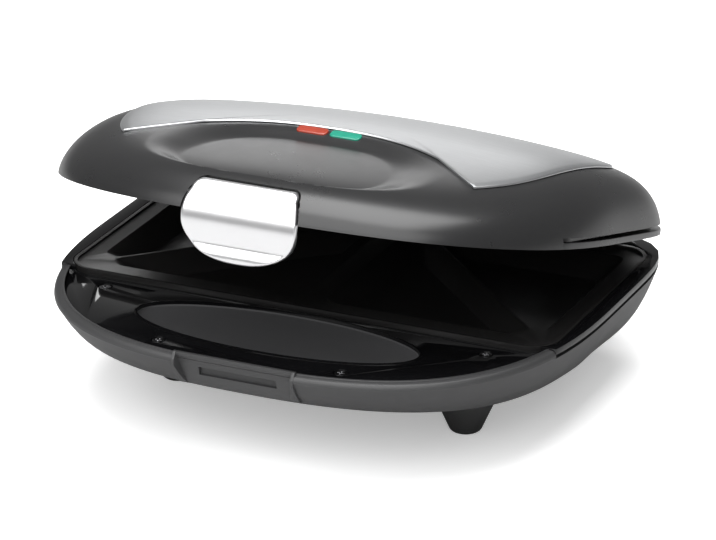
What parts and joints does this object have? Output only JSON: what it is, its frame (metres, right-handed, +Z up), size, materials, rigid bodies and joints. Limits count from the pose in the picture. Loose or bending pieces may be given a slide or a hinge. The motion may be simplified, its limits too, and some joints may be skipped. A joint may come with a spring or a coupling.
{
  "type": "sandwich toaster",
  "caption": "Hinged sandwich toaster with a domed lid and metal cover, front latch, two square moulds split on the diagonal, two indicator lenses and stub feet.",
  "frame": {"origin": "on the floor under the middle of the casing: half way between the left and right sides, half way between the base's front and the hinge knuckles, at the soles of the feet", "axes": "+X to the user's right, +Y from the handle end to the hinge end, +Z up; the front with the latch faces -Y"},
  "size_m": [0.242, 0.2232, 0.1265],
  "materials": {
    "casing": "satin dark grey moulding",
    "frame_black": "gloss black",
    "cooking_plate": "cast, dark non-stick coating, satin",
    "element": "heat-tinted tube",
    "shield": "bright sheet",
    "screw": "zinc-plated",
    "foot": "matte",
    "pin": "ground",
    "thermostat": "glazed body",
    "fuse": "metal can",
    "terminal": "moulded",
    "gland": "matte",
    "wire": "insulated",
    "cover": "brushed, light silver",
    "red_lens": "translucent, gloss",
    "green_lens": "translucent, gloss",
    "lamp": "clear",
    "lamp_holder": "moulded",
    "latch": "bright plated"
  },
  "bodies": {
    "base": {"base_shell": "casing", "catch_panel": "casing", "base_frame": "frame_black", "lower_cooking_plate": "cooking_plate", "lower_heating_element": "element", "lower_heat_shield": "shield", "lower_shield_screws": "screw", "base_frame_screws": "screw", "foot_front_left": "foot", "foot_front_right": "foot", "foot_rear_left": "foot", "foot_rear_right": "foot", "hinge_pin_left": "pin", "hinge_pin_right": "pin", "thermostat": "thermostat", "thermal_fuse": "fuse", "terminal_block": "terminal", "cord_gland": "gland", "base_wiring": "wire"},
    "lid": {"lid_shell": "casing", "cover_plate": "cover", "red_lens": "red_lens", "green_lens": "green_lens", "red_lamp": "lamp", "green_lamp": "lamp", "lamp_holder": "lamp_holder", "lid_frame": "frame_black", "upper_cooking_plate": "cooking_plate", "upper_heating_element": "element", "upper_heat_shield": "shield", "upper_shield_screws": "screw", "lid_frame_screws": "screw", "lid_wiring": "wire", "latch_pin": "pin"},
    "latch": {"latch": "latch"}
  },
  "joints": [
    {"name": "lid_hinge", "type": "hinge", "parent": "base", "child": "lid", "pos_m": [0, 0.1055, 0.0546], "axis": [-1, 0, 0], "range_deg": [-16.6, 83.4]},
    {"name": "latch_pivot", "type": "hinge", "parent": "lid", "child": "latch", "pos_m": [0, -0.09523, 0.11809], "axis": [-1, 0, 0], "range_deg": [0, 35]}
  ]
}
